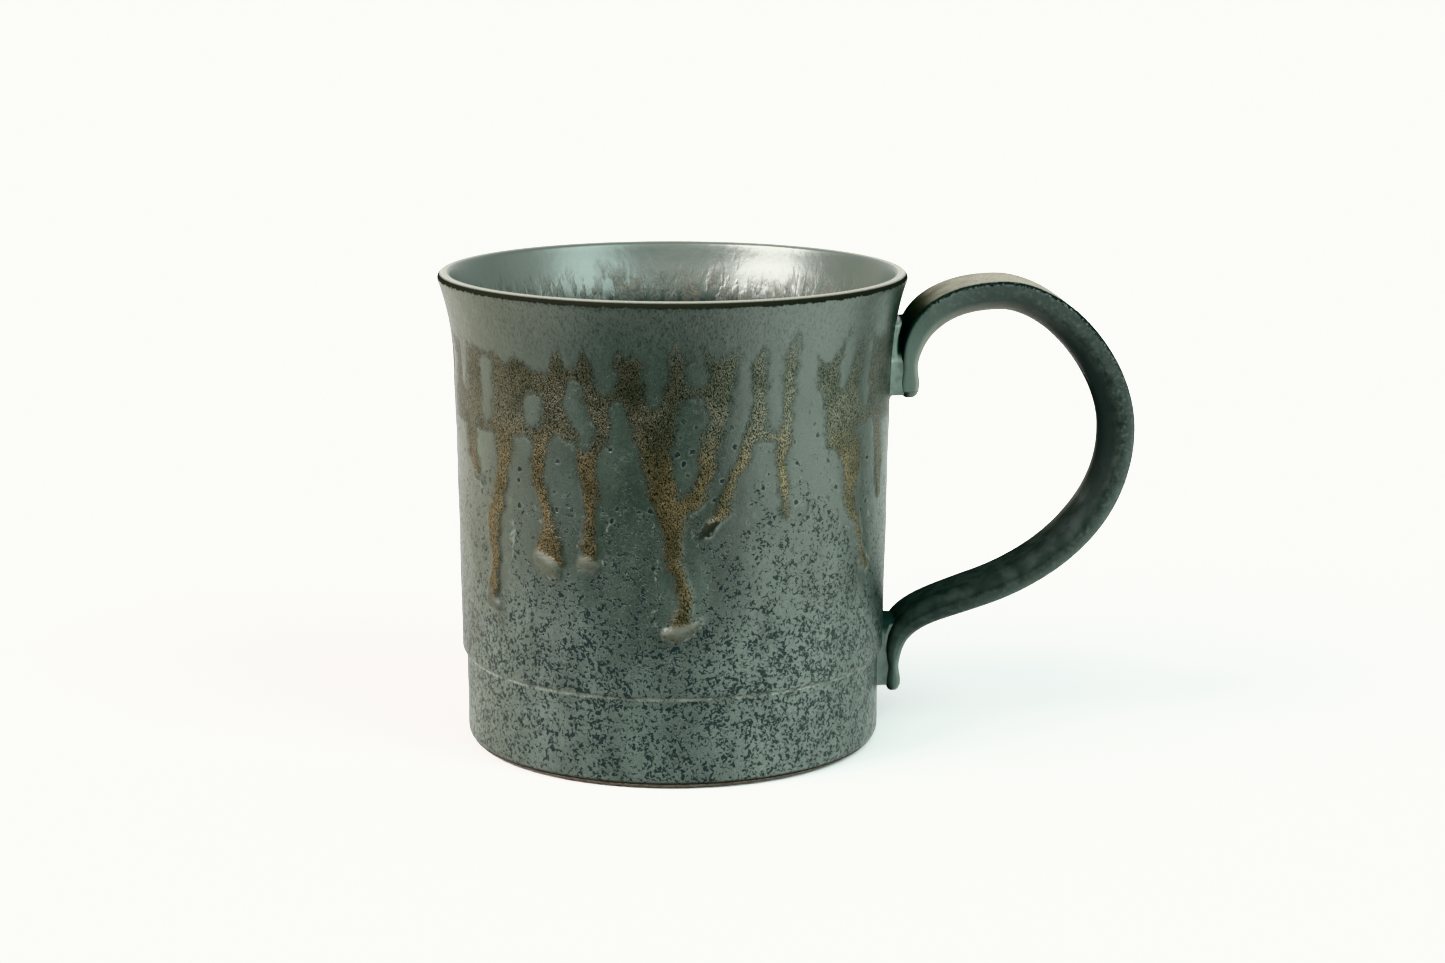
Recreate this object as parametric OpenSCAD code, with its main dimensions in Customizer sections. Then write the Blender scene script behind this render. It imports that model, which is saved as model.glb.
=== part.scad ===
// Wheel-thrown stoneware mug with a strap handle, millimetres.
// Frame: origin on the cup's axis at the plane it stands on, +Z up, handle toward +X.
// The clay body, the handle, its pads and the slip that seals it are separate pieces,
// and so is each layer of glaze.

/* [Cup] */
// Diameter across the lip
rim_d = 86.4; // [80:0.2:94]
// Height from the table to the top of the lip
cup_h = 88; // [86:1:100]
// Radius of the narrow band at the foot
foot_r = 38.6; // [36:0.1:39]
// Rounding at the outside of the foot
foot_round = 2.5; // [1.5:0.1:4]
// Height of the trimmed band at the foot
band_h = 16.5; // [12:0.5:22]
// Radius of the wall just above the band
wall_r0 = 39.45; // [39.2:0.05:40.2]
// Widening of the wall for each millimetre of height
wall_taper = 0.016; // [0:0.001:0.03]
// Height where the lip starts to flare
flare_z = 69; // [60:1:74]
// How late the flare bends outward
flare_power = 2.2; // [1.5:0.05:3.5]
// Rounding of the lip, half of its thickness
lip_round = 1.2; // [1:0.05:1.6]
// Lean of the wall where it meets the lip, degrees
lip_lean = 20; // [10:1:30]
// Thickness of the wall below the flare
wall_t = 3.6; // [3:0.1:4.5]
// Height of the floor inside the cup
floor_z = 6; // [5:0.5:9]
// Rounding where the floor meets the wall inside
floor_round = 6; // [3:0.5:12]
// Radius of the recess under the foot
recess_r = 31; // [26:0.5:33]
// Depth of the recess under the foot
recess_h = 1.2; // [0.5:0.1:2]

/* [Glaze] */
// Thickness of the base glaze
glaze_t = 0.35; // [0.2:0.05:0.5]
// Height where the base glaze stops above the bare foot
glaze_z = 1; // [0.5:0.1:2]
// Thickness of the brown second glaze
brown_t = 0.25; // [0.15:0.05:0.4]
// Height of the lower edge of the brown collar
collar_z0 = 58; // [54:1:60]
// Height of the upper edge of the brown collar
collar_z1 = 77; // [74:1:79]
// Width of the narrow openings in the collar
window_w = 3.4; // [2:0.2:5]
// How far a drop stands out from the wall
drop_h = 0.8; // [0.4:0.1:1.2]

/* [Handle] */
// Farthest reach of the strap's middle line from the axis
strap_reach = 83; // [76:0.2:90]
// Height of the strap's middle line at its top
strap_top = 83.4; // [78:0.1:86]
// Width of the strap at the top of the loop
strap_w = 14.5; // [11:0.5:17]
// Width of the strap at its lower end
strap_low_w = 11; // [8:0.5:14]
// Thickness of the strap where it is thickest, at the outside of the loop
strap_t = 6.2; // [4.5:0.1:7]
// Thickness of the strap at its upper end
upper_t = 3; // [2:0.1:4]
// Thickness of the strap at its lower end
lower_t = 2; // [1.8:0.1:4]
// Rounding of the strap's edges
strap_round = 0.95; // [0.5:0.05:0.95]
// Height of the cut upper end
upper_z = 64.6; // [60:0.2:68]
// Height of the lower tip
lower_z = 8.4; // [6:0.2:12]

/* [Hidden] */

clay_color = "#8a7460";
celadon_color = "#66736b";
liner_color = "#8d8c80";
brown_color = "#6b5a48";
drop_color = "#9b958c";
dark_color = "#2f3a35";
dark_glaze_color = "#3b4640";

curve_fn = 288;
rim_r = rim_d / 2;
step_h = 1.2;
lip_c = [rim_r - lip_round, cup_h - lip_round];
flare_end_z = lip_c[1] - lip_round * sin(lip_lean);
flare_end_r = lip_c[0] + lip_round * cos(lip_lean);
lip_wall_t = 2 * lip_round / cos(lip_lean);
thin_z = 76;

// Outside radius of the glazed wall at height z: rounded foot, trimmed band, soft step,
// straight taper and flared lip.
function taper_r(z) = wall_r0 + wall_taper * (z - band_h - step_h);
function blend(t) = (1 - cos(180 * min(max(t, 0), 1))) / 2;
function outer_r(z) =
    z < foot_round ? foot_r - foot_round + sqrt(pow(foot_round, 2) - pow(foot_round - z, 2)) :
    z < band_h + step_h ? foot_r + (wall_r0 - foot_r) * blend((z - band_h) / step_h) :
    z < flare_z ? taper_r(z) :
    taper_r(z) + (flare_end_r - taper_r(flare_end_z))
                 * pow((z - flare_z) / (flare_end_z - flare_z), flare_power);

// Inside radius of the glazed wall, which thins toward the lip
function wall_thickness(z) =
    wall_t + (lip_wall_t - wall_t) * blend((z - thin_z) / (flare_end_z - thin_z));
function inner_r(z) = (z < flare_z ? taper_r(z) : outer_r(z)) - wall_thickness(z);

// Heights at which the outline bends
foot_zs = [for (i = [1 : 3]) glaze_z + (foot_round - glaze_z) * i / 3];
step_zs = [for (i = [0 : 4]) band_h + step_h * i / 4];
flare_zs = [for (i = [0 : 8]) flare_z + (flare_end_z - flare_z) * i / 8];
outer_zs = concat([glaze_z], foot_zs, step_zs, flare_zs);
inner_z0 = floor_z + floor_round;
inner_zs = concat([inner_z0], flare_zs);

function reversed(a) = [for (i = [len(a) - 1 : -1 : 0]) a[i]];
function arc(c, r, a0, a1, n = 8) =
    [for (i = [0 : n]) let (a = a0 + (a1 - a0) * i / n) [c[0] + r * cos(a), c[1] + r * sin(a)]];

// Outlines of the glazed surface and of the clay under it. gap is the depth below the glaze.
function outer_line(gap, zs) = [for (z = zs) [outer_r(z) - gap, z]];
function inner_line(gap, zs) = [for (z = zs) [inner_r(z) + gap, z]];
function lip_outer(gap) = arc(lip_c, lip_round - gap, -lip_lean, 90);
function lip_inner(gap) = arc(lip_c, lip_round - gap, 90, 180 - lip_lean);
function floor_corner(gap) =
    arc([inner_r(inner_z0) - floor_round, inner_z0], floor_round + gap, 0, -90);
function liner_outline(gap) =
    concat(lip_inner(gap), reversed(inner_line(gap, inner_zs)), floor_corner(gap), [[0, floor_z - gap]]);

module revolve(outline) {
    rotate_extrude($fn = curve_fn)
        polygon(outline);
}

// Everything inside the glazed outer surface, or inside the clay surface under it
module wall_solid(gap) {
    revolve(concat([[0, glaze_z]], outer_line(gap, outer_zs), [[0, flare_end_z]]));
}

// ---- Cup ----

module stoneware_cup() {
    foot = concat([[0, recess_h], [recess_r - recess_h, recess_h], [recess_r, 0],
                   [foot_r - foot_round, 0]],
                  [for (i = [1 : 4]) let (z = glaze_z * i / 4) [outer_r(z), z]]);
    color(clay_color)
        revolve(concat(foot, outer_line(glaze_t, outer_zs), lip_outer(glaze_t),
                       liner_outline(glaze_t)));
}

module outer_glaze() {
    color(celadon_color)
        difference() {
            revolve(concat(outer_line(0, outer_zs), lip_outer(0),
                           reversed(lip_outer(glaze_t)), reversed(outer_line(glaze_t, outer_zs))));
            handle_roots();
        }
}

module liner_glaze() {
    color(liner_color)
        revolve(concat(liner_outline(0), reversed(liner_outline(glaze_t))));
}

// ---- Brown glaze, its runs and drops ----

// Each run: angle from the handle, width, height of its drop and radius of the drop
runs = [[-171, 2.6, 36, 2.2], [-153, 2.6, 53, 1.8], [-147, 3, 33, 2], [-127, 3.4, 40, 2.6],
        [-115, 3, 42, 1.8], [-92, 4.4, 30, 3], [-84, 2.6, 47, 1.6], [-59, 3.6, 49, 2.3],
        [-31, 3, 35.5, 1.8], [-22, 3.2, 51, 2.2], [24, 4, 44, 2.6], [41, 3, 37, 2],
        [57, 3.6, 48, 2.6], [76, 3, 40, 2.2], [93, 4.2, 34, 3], [112, 3, 46, 2.2],
        [131, 3.6, 38, 2.6], [149, 3, 50, 2.2], [166, 3.8, 43, 2.4]];
// Each opening in the collar: angle, lower end and upper end
windows = [[-160, 63, 69], [-151, 61, 67], [-134, 60, 68], [-118, 66, 74], [-108, 60, 72],
           [-97, 64, 75], [-88, 60, 71], [-79, 61, 74], [-68, 64, 75], [-54, 61, 76],
           [-45, 65, 73], [-34, 62, 70], [30, 63, 72], [50, 66, 74], [66, 62, 71], [84, 65, 73],
           [104, 62, 70], [121, 66, 74], [140, 63, 72], [158, 66, 73], [175, 62, 71]];

// Upright slot with round ends, cut radially through the wall's outside
module radial_slot(angle, z0, z1, w) {
    rotate([0, 0, angle])
        translate([rim_r - 8, 0, 0])
            rotate([90, 0, 90])
                linear_extrude(14) {
                    translate([-w / 2, z0])
                        square([w, z1 - z0]);
                    for (z = [z0, z1])
                        translate([0, z])
                            circle(d = w, $fn = 24);
                }
}

module glaze_shell(z0, z1) {
    zs = concat([z0], [for (z = concat([flare_z], flare_zs)) if (z > z0 && z < z1) z], [z1]);
    revolve(concat(outer_line(-brown_t, zs), reversed(outer_line(0, zs))));
}

module brown_overglaze() {
    color(brown_color)
        difference() {
            union() {
                glaze_shell(collar_z0, collar_z1);
                for (run = runs)
                    intersection() {
                        glaze_shell(run[2], collar_z0);
                        radial_slot(run[0], run[2] + run[3] + run[1] / 2, collar_z0, run[1]);
                    }
            }
            for (window = windows)
                radial_slot(window[0], window[1], window[2], window_w);
            handle_roots();
        }
}

// Thick round drop at the end of each run, a low dome on the wall
module glaze_drops() {
    color(drop_color)
        difference() {
            for (run = runs) {
                dome_r = (pow(run[3], 2) + pow(drop_h, 2)) / (2 * drop_h);
                rotate([0, 0, run[0]])
                    translate([outer_r(run[2]) + drop_h - dome_r, 0, run[2]])
                        sphere(dome_r, $fn = 128);
            }
            wall_solid(0);
        }
}

// ---- Handle ----

// Middle line of the strap as cubic curves in the plane of the handle, from the cut upper
// end, over the top and down to the lower tip
upper_x = 43.4;
lower_x = 41.3;
loop_z = 57.4;
bends = [
    [[upper_x, upper_z], [upper_x, upper_z + 2], [upper_x, upper_z + 4], [upper_x, upper_z + 6], 4],
    [[upper_x, upper_z + 6], [upper_x, strap_top - 7.6], [47, strap_top], [60.4, strap_top], 10],
    [[60.4, strap_top], [70.6, strap_top], [strap_reach, 69.8], [strap_reach, loop_z], 12],
    [[strap_reach, loop_z], [83.3, 43.4], [72.6, 31.9], [56.4, 26.7], 12],
    [[56.4, 26.7], [48.2, 23.7], [lower_x + 0.2, 22.6], [lower_x, 14.8], 9],
    [[lower_x, 14.8], [lower_x, 13], [lower_x, 11], [lower_x, lower_z], 4]];
function bezier(b, t) = pow(1 - t, 3) * b[0] + 3 * pow(1 - t, 2) * t * b[1]
                        + 3 * (1 - t) * t * t * b[2] + pow(t, 3) * b[3];
function bezier_dir(b, t) = let (d = pow(1 - t, 2) * (b[1] - b[0]) + 2 * (1 - t) * t * (b[2] - b[1])
                                     + t * t * (b[3] - b[2])) d / norm(d);
stations = concat([for (b = bends) each [for (i = [0 : b[4] - 1]) [b, i / b[4]]]],
                  [[bends[5], 1]]);
last = len(stations) - 1;

// Thickness and width along the strap, at a share u of the way from the upper end
function strap_thickness(u) = lookup(u, [[0, upper_t], [0.08, upper_t], [0.18, strap_t * 0.81],
    [0.28, strap_t * 0.9], [0.37, strap_t], [0.44, strap_t * 0.97], [0.55, strap_t * 0.84],
    [0.62, strap_t * 0.84], [0.76, strap_t * 0.77], [0.86, strap_t * 0.65], [0.9, strap_t * 0.52],
    [0.94, lower_t], [1, lower_t]]);
function strap_width(u) = lookup(u, [[0, strap_w - 0.5], [0.25, strap_w], [0.6, strap_w * 0.9],
    [1, strap_low_w]]);

// One ring of the strap: a rectangle with rounded corners across its middle line
function strap_ring(k, inset) =
    let (s = stations[k], u = k / last, p = bezier(s[0], s[1]), d = bezier_dir(s[0], s[1]),
         r = strap_round - inset,
         hx = strap_thickness(u) / 2 - strap_round,
         hy = strap_width(u) / 2 - strap_round)
    [for (corner = [[1, 1, 0], [-1, 1, 90], [-1, -1, 180], [1, -1, 270]], a = [0, 30, 60, 90])
        let (n = corner[0] * hx + r * cos(corner[2] + a), y = corner[1] * hy + r * sin(corner[2] + a))
        [p[0] - d[1] * n, y, p[1] + d[0] * n]];
ring_n = 16;

// Side faces between neighbouring rings, starting at point number first
function tube_faces(first, flip) =
    [for (k = [0 : last - 1], i = [0 : ring_n - 1])
        let (j = (i + 1) % ring_n, a = first + k * ring_n,
             face = [a + i, a + j, a + ring_n + j, a + ring_n + i])
        flip ? reversed(face) : face];
function tube_points(inset) = [for (k = [0 : last]) each strap_ring(k, inset)];

module handle_strap() {
    color(dark_color)
        polyhedron(tube_points(glaze_t),
                   concat(tube_faces(0, false),
                          [[for (i = [ring_n - 1 : -1 : 0]) i],
                           [for (i = [0 : ring_n - 1]) last * ring_n + i]]),
                   convexity = 6);
}

module handle_glaze() {
    outer_n = (last + 1) * ring_n;
    end = last * ring_n;
    end_faces = [for (i = [0 : ring_n - 1]) let (j = (i + 1) % ring_n) each [
        [i, outer_n + i, outer_n + j, j],
        [end + i, end + j, outer_n + end + j, outer_n + end + i]]];
    color(dark_glaze_color)
        polyhedron(concat(tube_points(0), tube_points(glaze_t)),
                   concat(tube_faces(0, false), tube_faces(outer_n, true), end_faces),
                   convexity = 8);
}

// ---- Pads and slip that join the handle to the cup ----

pad_z0 = upper_z + 0.3;
pad_x1 = upper_x - upper_t / 2;
pad_w = strap_w - 2.5;
low_pad_z0 = lower_z + 0.8;
low_pad_x1 = lower_x - lower_t / 2;
low_pad_w = strap_low_w - 2;
root_x = recess_r + 4;
low_fillet_r = 1.8;

// The strap's faces toward the cup: its outer side from the upper end to part of the way round
// its first bend, and its inner side from part of the way down its lower bend to the lower end
up_last = 9;
low_first = 43;
low_end = last - bends[5][4];
function face_point(k, side) =
    let (s = stations[k], p = bezier(s[0], s[1]), d = bezier_dir(s[0], s[1]),
         h = side * strap_thickness(k / last) / 2)
    [p[0] - d[1] * h, p[1] + d[0] * h];
up_face = [for (k = [1 : up_last]) face_point(k, 1)];
pad_z1 = up_face[up_last - 1][1];
low_face = [for (k = [low_first : low_end]) face_point(k, -1)];
low_pad_z1 = low_face[0][1];

upper_pad_outline = concat([[root_x, pad_z0], [pad_x1, pad_z0]], up_face, [[root_x, pad_z1]]);
lower_pad_outline = concat([[root_x, low_pad_z1]], low_face,
                           [[low_pad_x1, low_pad_z0], [root_x, low_pad_z0]]);

// Hollow corner of slip between the wall and a level face, below it or above it
upper_fillet_r = pad_x1 - outer_r(pad_z0);
upper_fillet_outline = concat([[root_x, pad_z0], [root_x, pad_z0 - upper_fillet_r]],
    arc([pad_x1, pad_z0 - upper_fillet_r], upper_fillet_r, 180, 90));
lower_fillet_outline = concat([[root_x, low_pad_z1], [root_x, low_pad_z1 + low_fillet_r]],
    arc([outer_r(low_pad_z1) + low_fillet_r, low_pad_z1 + low_fillet_r], low_fillet_r, 180, 270));

// An outline in the plane of the handle, w wide
module slab(outline, w) {
    rotate([90, 0, 0])
        linear_extrude(w, center = true)
            polygon(outline);
}

// The room that the pads and their slip take in the layers of glaze
module handle_roots() {
    slab(upper_pad_outline, pad_w);
    slab(lower_pad_outline, low_pad_w);
    slab(upper_fillet_outline, pad_w);
    slab(lower_fillet_outline, low_pad_w);
}

module root(outline, w) {
    difference() {
        slab(outline, w);
        wall_solid(glaze_t);
    }
}

module upper_handle_pad() {
    color(dark_glaze_color) root(upper_pad_outline, pad_w);
}

module lower_handle_pad() {
    color(dark_glaze_color) root(lower_pad_outline, low_pad_w);
}

module upper_slip_fillet() {
    color(celadon_color) root(upper_fillet_outline, pad_w);
}

module lower_slip_fillet() {
    color(celadon_color) root(lower_fillet_outline, low_pad_w);
}

stoneware_cup();
outer_glaze();
liner_glaze();
brown_overglaze();
glaze_drops();
handle_strap();
handle_glaze();
upper_handle_pad();
lower_handle_pad();
upper_slip_fillet();
lower_slip_fillet();
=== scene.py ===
import math

import bpy
import numpy as np
from mathutils import Euler, Matrix, Vector


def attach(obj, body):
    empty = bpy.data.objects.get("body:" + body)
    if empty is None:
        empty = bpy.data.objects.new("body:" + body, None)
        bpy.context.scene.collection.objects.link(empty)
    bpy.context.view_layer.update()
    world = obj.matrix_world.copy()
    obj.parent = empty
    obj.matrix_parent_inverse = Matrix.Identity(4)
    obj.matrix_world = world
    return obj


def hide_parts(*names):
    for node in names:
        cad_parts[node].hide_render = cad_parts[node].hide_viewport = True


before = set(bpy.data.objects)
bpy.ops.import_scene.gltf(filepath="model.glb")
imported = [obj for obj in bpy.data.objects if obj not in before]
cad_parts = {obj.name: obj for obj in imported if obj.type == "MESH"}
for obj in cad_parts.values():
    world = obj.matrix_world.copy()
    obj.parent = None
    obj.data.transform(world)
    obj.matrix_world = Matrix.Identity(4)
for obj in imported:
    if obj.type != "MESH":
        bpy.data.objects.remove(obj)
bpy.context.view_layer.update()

# The glazed surfaces, the handle and the studio of the stoneware mug. Lengths in the code are
# millimetres and become metres as a mesh is made; angles round the cup are degrees from -Y toward
# the handle at +X.
MM = 0.001

# ---- Cup outline, as in the CAD ----

RIM_R = 43.2
CUP_H = 88.0
FOOT_R = 38.6
FOOT_ROUND = 2.5
BAND_H = 16.5
STEP_H = 1.2
WALL_R0 = 39.45
WALL_TAPER = 0.016
FLARE_Z = 69.0
FLARE_POWER = 2.2
LIP_ROUND = 1.2
LIP_LEAN = math.radians(20)
WALL_T = 3.6
THIN_Z = 76.0
FLOOR_Z = 6.0
FLOOR_ROUND = 6.0
GLAZE_T = 0.35
GLAZE_Z = 1.0

LIP_C = (RIM_R - LIP_ROUND, CUP_H - LIP_ROUND)
FLARE_END_Z = LIP_C[1] - LIP_ROUND * math.sin(LIP_LEAN)
FLARE_END_R = LIP_C[0] + LIP_ROUND * math.cos(LIP_LEAN)
LIP_WALL_T = 2 * LIP_ROUND / math.cos(LIP_LEAN)
# Along the wall, whose radius is about 40 mm
MM_PER_DEG = math.radians(40.0)


def smooth(t):
    t = np.clip(t, 0, 1)
    return t * t * (3 - 2 * t)


def taper_r(z):
    return WALL_R0 + WALL_TAPER * (z - BAND_H - STEP_H)


def outer_r(z):
    z = np.asarray(z, float)
    under = np.maximum(FOOT_ROUND - z, 0)
    foot = FOOT_R - FOOT_ROUND + np.sqrt(np.maximum(FOOT_ROUND ** 2 - under ** 2, 0))
    climb = np.clip((z - BAND_H) / STEP_H, 0, 1)
    step = FOOT_R + (WALL_R0 - FOOT_R) * (1 - np.cos(np.pi * climb)) / 2
    rise = np.clip((z - FLARE_Z) / (FLARE_END_Z - FLARE_Z), 0, None)
    wall = taper_r(z) + (FLARE_END_R - taper_r(FLARE_END_Z)) * rise ** FLARE_POWER
    return np.where(z < FOOT_ROUND, foot, np.where(z < BAND_H + STEP_H, step, wall))


def inner_r(z):
    z = np.asarray(z, float)
    thin = (1 - np.cos(np.pi * np.clip((z - THIN_Z) / (FLARE_END_Z - THIN_Z), 0, 1))) / 2
    base = np.where(z < FLARE_Z, taper_r(z), outer_r(z))
    return base - (WALL_T + (LIP_WALL_T - WALL_T) * thin)


def arc(centre, radius, start, end, n):
    a = np.linspace(start, end, n)
    return np.stack([centre[0] + radius * np.cos(a), centre[1] + radius * np.sin(a)], -1)


def line_at(radius_of, zs):
    return np.stack([radius_of(zs), zs], -1)


def outer_profile(depth=0.0, fine=True):
    """Radius and height from the bare foot up to the top of the lip, at a depth under the glaze."""
    steps = ((GLAZE_Z, FOOT_ROUND, 4), (FOOT_ROUND, BAND_H, 20), (BAND_H, BAND_H + STEP_H, 6),
             (BAND_H + STEP_H, FLARE_Z, 76), (FLARE_Z, FLARE_END_Z, 26))
    if not fine:
        steps = ((GLAZE_Z, FOOT_ROUND, 2), (FOOT_ROUND, BAND_H, 1), (BAND_H, BAND_H + STEP_H, 2),
                 (BAND_H + STEP_H, FLARE_Z, 1), (FLARE_Z, FLARE_END_Z, 6))
    zs = np.concatenate([np.linspace(a, b, n, endpoint=False) for a, b, n in steps])
    wall = line_at(outer_r, zs) - [depth, 0]
    return np.concatenate([wall, arc(LIP_C, LIP_ROUND - depth, -LIP_LEAN, math.pi / 2, 9)])


def liner_profile(depth=0.0, fine=True):
    """Radius and height from the top of the lip down the inside to the middle of the floor."""
    lip = arc(LIP_C, LIP_ROUND - depth, math.pi / 2, math.pi - LIP_LEAN, 9)
    z0 = FLOOR_Z + FLOOR_ROUND
    zs = np.concatenate([np.linspace(FLARE_END_Z, FLARE_Z, 26 if fine else 10, endpoint=False),
                         np.linspace(FLARE_Z, z0, 60 if fine else 4, endpoint=False)])
    corner_r = float(inner_r(z0)) - FLOOR_ROUND
    corner = arc((corner_r, z0), FLOOR_ROUND + depth, 0, -math.pi / 2, 12)
    floor = np.stack([np.linspace(corner_r, 0.4, 16 if fine else 5)[1:],
                      np.full(15 if fine else 4, FLOOR_Z - depth)], -1)
    # The depth runs outward from the inside wall and down from the floor
    return np.concatenate([lip, line_at(inner_r, zs) + [depth, 0], corner, floor])


# ---- Meshes ----

def make_object(name, points, faces, attributes=None):
    """A smooth-shaded mesh from points in millimetres, with optional float values on its points."""
    mesh = bpy.data.meshes.new(name)
    mesh.from_pydata((np.asarray(points, float) * MM).tolist(), [], faces)
    mesh.update()
    mesh.shade_smooth()
    for key, values in (attributes or {}).items():
        layer = mesh.attributes.new(key, "FLOAT", "POINT")
        layer.data.foreach_set("value", np.asarray(values, np.float32).ravel())
    obj = bpy.data.objects.new(name, mesh)
    bpy.context.scene.collection.objects.link(obj)
    return obj


def grid_faces(rows, columns, first=0, close_columns=True, close_rows=False, flip=False):
    """Quads between the points of a grid that runs row by row."""
    faces = []
    for i in range(rows if close_rows else rows - 1):
        a = first + i * columns
        b = first + (i + 1) % rows * columns
        for j in range(columns if close_columns else columns - 1):
            k = (j + 1) % columns
            face = (a + j, a + k, b + k, b + j)
            faces.append(face[::-1] if flip else face)
    return faces


def turned(profile, degrees):
    """Points of a profile turned round the cup's axis, row by row of the profile."""
    a = np.radians(degrees)[None, :]
    r, z = profile[..., 0], profile[..., 1]
    if r.ndim == 1:
        r, z = r[:, None], z[:, None]
    return np.stack([r * np.sin(a), -r * np.cos(a), z + 0 * a], -1)


def profile_normals(profile):
    """Unit normals to the right of the way along a profile."""
    along = np.gradient(profile, axis=0)
    along /= np.linalg.norm(along, axis=1)[:, None]
    return np.stack([along[:, 1], -along[:, 0]], -1)


# ---- Pattern of the poured brown glaze ----

# Angles in the pattern's lists are counted from this one
PATTERN_TURN = -3.0
# Depth of a point that lies far outside every stroke
FAR_OUT = -20.0


def wave_noise(degrees, z, size, seed, count=14):
    """Smooth noise of about unit size that closes round the cup, with features of size mm."""
    source = np.random.default_rng(seed)
    total = np.zeros(np.broadcast(degrees, z).shape)
    top = max(2, int(250 / size))
    for _ in range(count):
        turns = source.integers(-top, top + 1)
        rise = source.uniform(-1, 1) * 2 * math.pi / size
        total += np.sin(np.radians(degrees) * turns + z * rise + source.uniform(0, 2 * math.pi))
    return total / math.sqrt(count / 2)


def angle_gap(degrees, to):
    return (degrees - to + 180) % 360 - 180


def depth_in_stroke(degrees, z, points):
    """How far inside a stroke, in mm. Its points are (angle, height, half width in degrees)."""
    depth = np.full(degrees.shape, FAR_OUT)
    for (a0, z0, w0), (a1, z1, w1) in zip(points, points[1:]):
        x = angle_gap(degrees, a0) * MM_PER_DEG
        y = z - z0
        dx, dy = angle_gap(a1, a0) * MM_PER_DEG, z1 - z0
        t = np.clip((x * dx + y * dy) / (dx * dx + dy * dy), 0, 1)
        gap = np.hypot(x - t * dx, y - t * dy)
        depth = np.maximum(depth, (w0 + (w1 - w0) * t) * MM_PER_DEG - gap)
    return depth


# Upper edge of the brown glaze: angle and height
BROWN_TOP = ((-76, 77), (-66, 77.5), (-58, 77), (-50, 76.6), (-46, 74.6), (-42, 76.6), (-38, 75),
             (-33.5, 74), (-29.5, 79.8), (-27, 75.4), (-24, 76.4), (-22.3, 79.6), (-20, 76),
             (-14.5, 77), (-13.2, 81), (-11, 77.5), (-9.6, 79.2), (-7.6, 77.4), (-1.5, 77),
             (0.5, 81), (2.6, 77.6), (6, 77.8), (8.3, 80.2), (10.5, 77.4), (13, 77.6), (15.4, 79.4),
             (18, 76.8), (21, 78.6), (22.7, 81.4), (24.5, 77.6), (28.6, 79), (31.7, 81.6),
             (33.5, 77.6), (38, 78), (42, 75.4), (45.5, 77), (48.6, 81.4), (51, 78), (54, 79),
             (58.5, 80.6), (63, 78.4), (70, 79), (76, 78))
# Lower edges of the unbroken brown glaze and of the smoother base glaze
BROWN_LOW_Z = 62.5
HEM_Z = 55
# Openings in the brown glaze, as strokes of the base glaze
OPENINGS = (
    ((-67.5, 77.5, 2), (-67.5, 70, 1.8)),
    ((-54.6, 73.5, 2.9), (-54.2, 66, 2.6)),
    ((-57.8, 59.6, 2.6), (-58, 57.6, 2.4)),
    ((-37.6, 68.8, 2.5), (-37.2, 66.2, 2.5)),
    ((-40.8, 61.2, 2.8), (-41.6, 57, 3), (-41.5, 50, 3.2)),
    ((-31, 62.6, 1.1), (-30.4, 60, 3), (-29, 55, 4.4), (-27.5, 49, 4.2)),
    ((-25.2, 72, 2.2), (-25, 69, 2.5), (-22.9, 65.6, 2.3), (-22.6, 62.4, 1.9)),
    ((-17, 79.2, 2.9), (-17, 74, 2.8), (-16.4, 72.4, 1.3)),
    ((-13.7, 68.6, 2.3), (-13, 63, 4), (-12.6, 58, 5.6), (-12, 52, 6.2)),
    ((-4.2, 79.4, 2.9), (-4.2, 74, 3.2), (-4.6, 70, 1.4)),
    ((5.6, 76.2, 2.8), (6.4, 74, 2.6)),
    ((4.4, 68.4, 3.1), (3.8, 64, 3.4), (2.7, 58, 2.6), (2.7, 55.6, 2.0)),
    ((17.6, 77, 2.1), (16.8, 71.6, 2.7), (16.2, 67, 3), (14, 62, 2.5), (12.2, 58, 1.6),
     (10.8, 54, 1.1), (8.8, 51, 1.4)),
    ((25.6, 78.6, 2.5), (25.7, 75.4, 2.5), (25.9, 73.5, 1.6), (26, 71.4, 2.6), (26.1, 66.2, 2.6)),
    ((35.2, 80, 2.9), (35.6, 74, 3.5), (36.8, 68, 4.6), (36.4, 60, 5.6), (37, 52, 6)),
    ((50, 79, 2.4), (49.2, 74, 3), (48.4, 71.6, 2)),
    ((59.2, 77, 2.2), (58.4, 68, 2.3)),
    ((45, 58.4, 2.3), (45.4, 55, 3)),
    ((61.4, 62, 2.6), (61, 55, 4)),
)
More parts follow.
